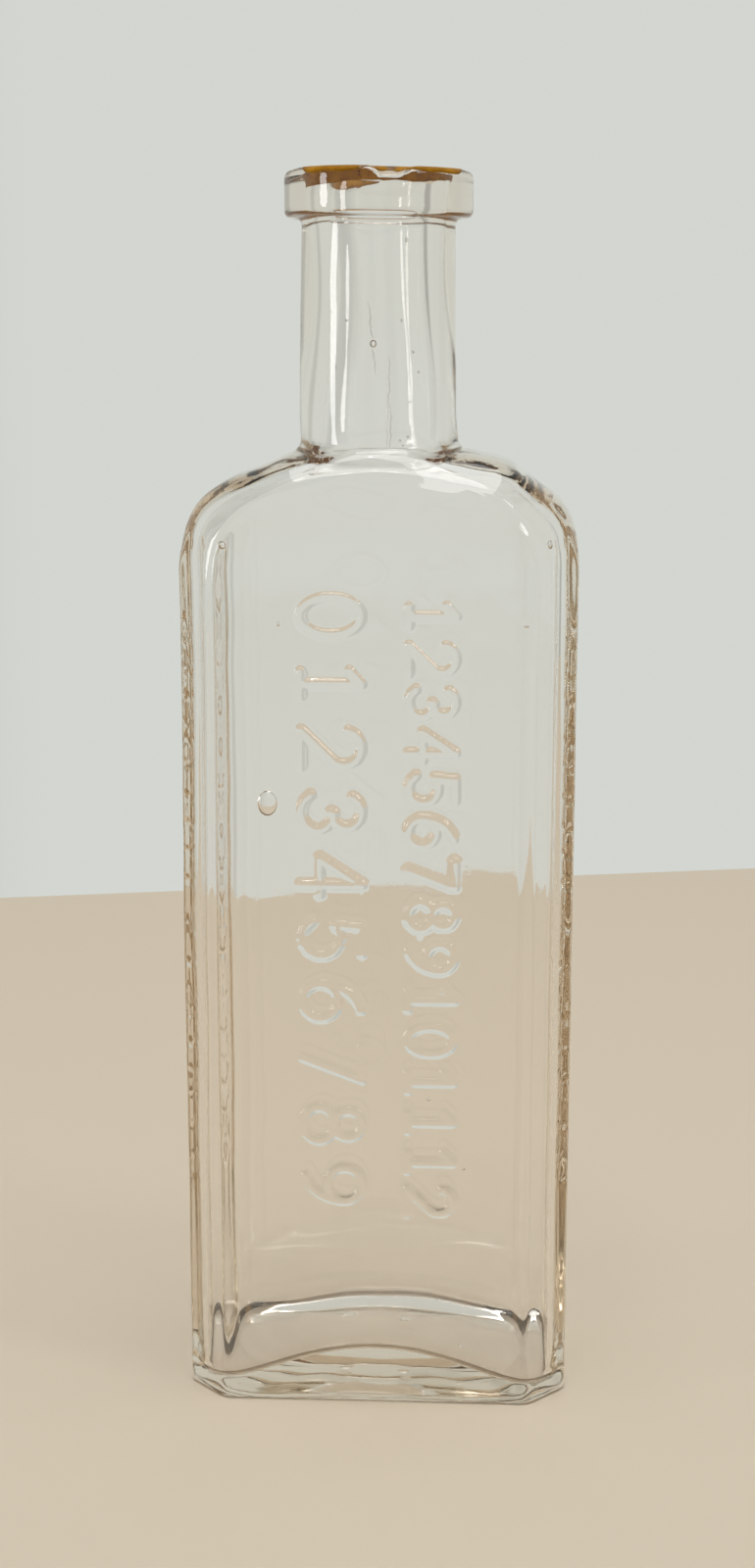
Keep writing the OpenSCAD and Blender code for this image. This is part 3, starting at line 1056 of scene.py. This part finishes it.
def dimmed(mask, share):
    """1 where the mask is 0, and less by the given share where it is 1."""
    return step("SUBTRACT", 1.0, step("MULTIPLY", mask, share))


GAP_COUNT, GAP_DIM, CEILING_DIM = 4.0, 0.4, 0.1
direction = tree.nodes.new("ShaderNodeTexCoord")
split = tree.nodes.new("ShaderNodeSeparateXYZ")
tree.links.new(direction.outputs["Generated"], split.inputs["Vector"])
east, north, up = (split.outputs[axis] for axis in "XYZ")
gap = soft_step(step("SINE", step("MULTIPLY", step("ARCTAN2", north, east), GAP_COUNT)), 0.72, 1.0)
near_level = step("MULTIPLY", soft_step(up, -0.5, -0.2), dimmed(soft_step(up, 0.5, 0.8), 1.0))
gap = step("MULTIPLY", step("MULTIPLY", gap, near_level), dimmed(soft_step(north, 0.5, 0.8), 0.5))
ceiling = soft_step(up, 0.35, 0.85)
brightness = step("MULTIPLY", dimmed(gap, GAP_DIM), dimmed(ceiling, CEILING_DIM))
room = tree.nodes.new("ShaderNodeBackground")
room.inputs["Color"].default_value = (0.655, 0.675, 0.635, 1)
tree.links.new(brightness, room.inputs["Strength"])
end = tree.nodes.new("ShaderNodeOutputWorld")
tree.links.new(room.outputs["Background"], end.inputs["Surface"])
print("world:", world.name)

# %% [markdown]
# ## Lamps
# A large soft lamp hangs over the bottle and two smaller ones stand in for windows. Their light is
# even, and their reflections are the pale streaks on the shoulder and neck. A small faint bulb
# adds hardly any light, but its reflections are the sparkles where the glass turns sharply.

# %% Lamps


def soft_lamp(name, place, width, height, power):
    """An oval area lamp that faces the middle of the bottle."""
    light = bpy.data.lights.new(name, "AREA")
    light.shape = "ELLIPSE"
    light.size, light.size_y = width, height
    light.energy = power
    lamp = bpy.data.objects.new(name, light)
    lamp.location = place
    lamp.rotation_euler = (Vector((0, 0, 0.08)) - lamp.location).to_track_quat("-Z", "Y").to_euler()
    bpy.context.collection.objects.link(lamp)
    return lamp


lamps = [soft_lamp("overhead", (0.05, -0.1, 1.2), 0.85, 0.85, 6.0),
         soft_lamp("left_window", (-1.0, -0.414, 0.26), 0.16, 0.5, 1.6),
         soft_lamp("right_window", (0.85, -0.45, 0.95), 0.26, 0.26, 1.2),
         soft_lamp("ceiling_bulb", (-0.12, -0.42, 1.25), 0.06, 0.06, 0.3)]
print("lamps:", [lamp.name for lamp in lamps])

# %% [markdown]
# ## Room for the light to bounce
# Light that enters the edge of a wall is reflected inside the glass many times before it comes
# out. Cycles gives up after four such reflections and draws black, which would leave thick black
# outlines where real glass is bright, so the limits are raised. It also blurs reflections that are
# seen by way of the floor, which would leave the floor under the bottle as dark as under a block
# of wood, and that darkness would show all through the base, so the blur is turned off.

# %% Bounces
cycles = bpy.context.scene.cycles
cycles.max_bounces, cycles.glossy_bounces, cycles.transmission_bounces = 32, 24, 24
cycles.blur_glossy = 0.0
print("bounces:", cycles.max_bounces, "glossy blur:", cycles.blur_glossy)

# %% [markdown]
# ## Camera
# The camera stands as high as the bottle's neck, about 30 cm away and a little to the right, and
# looks slightly down. Its lens is close to a normal one for its sensor.

# %% Camera
lens = bpy.data.cameras.new("camera")
lens.lens = 49.5
lens.sensor_width = 36.0
lens.sensor_fit = "AUTO"
camera = bpy.data.objects.new("camera", lens)
camera.location = (0.01504, -0.3006, 0.149)
camera.rotation_euler = (math.radians(78.4), 0, math.radians(2.96))
bpy.context.collection.objects.link(camera)
bpy.context.scene.camera = camera
bpy.context.scene.view_settings.view_transform = "Standard"
print("camera at", [round(v, 4) for v in camera.location])
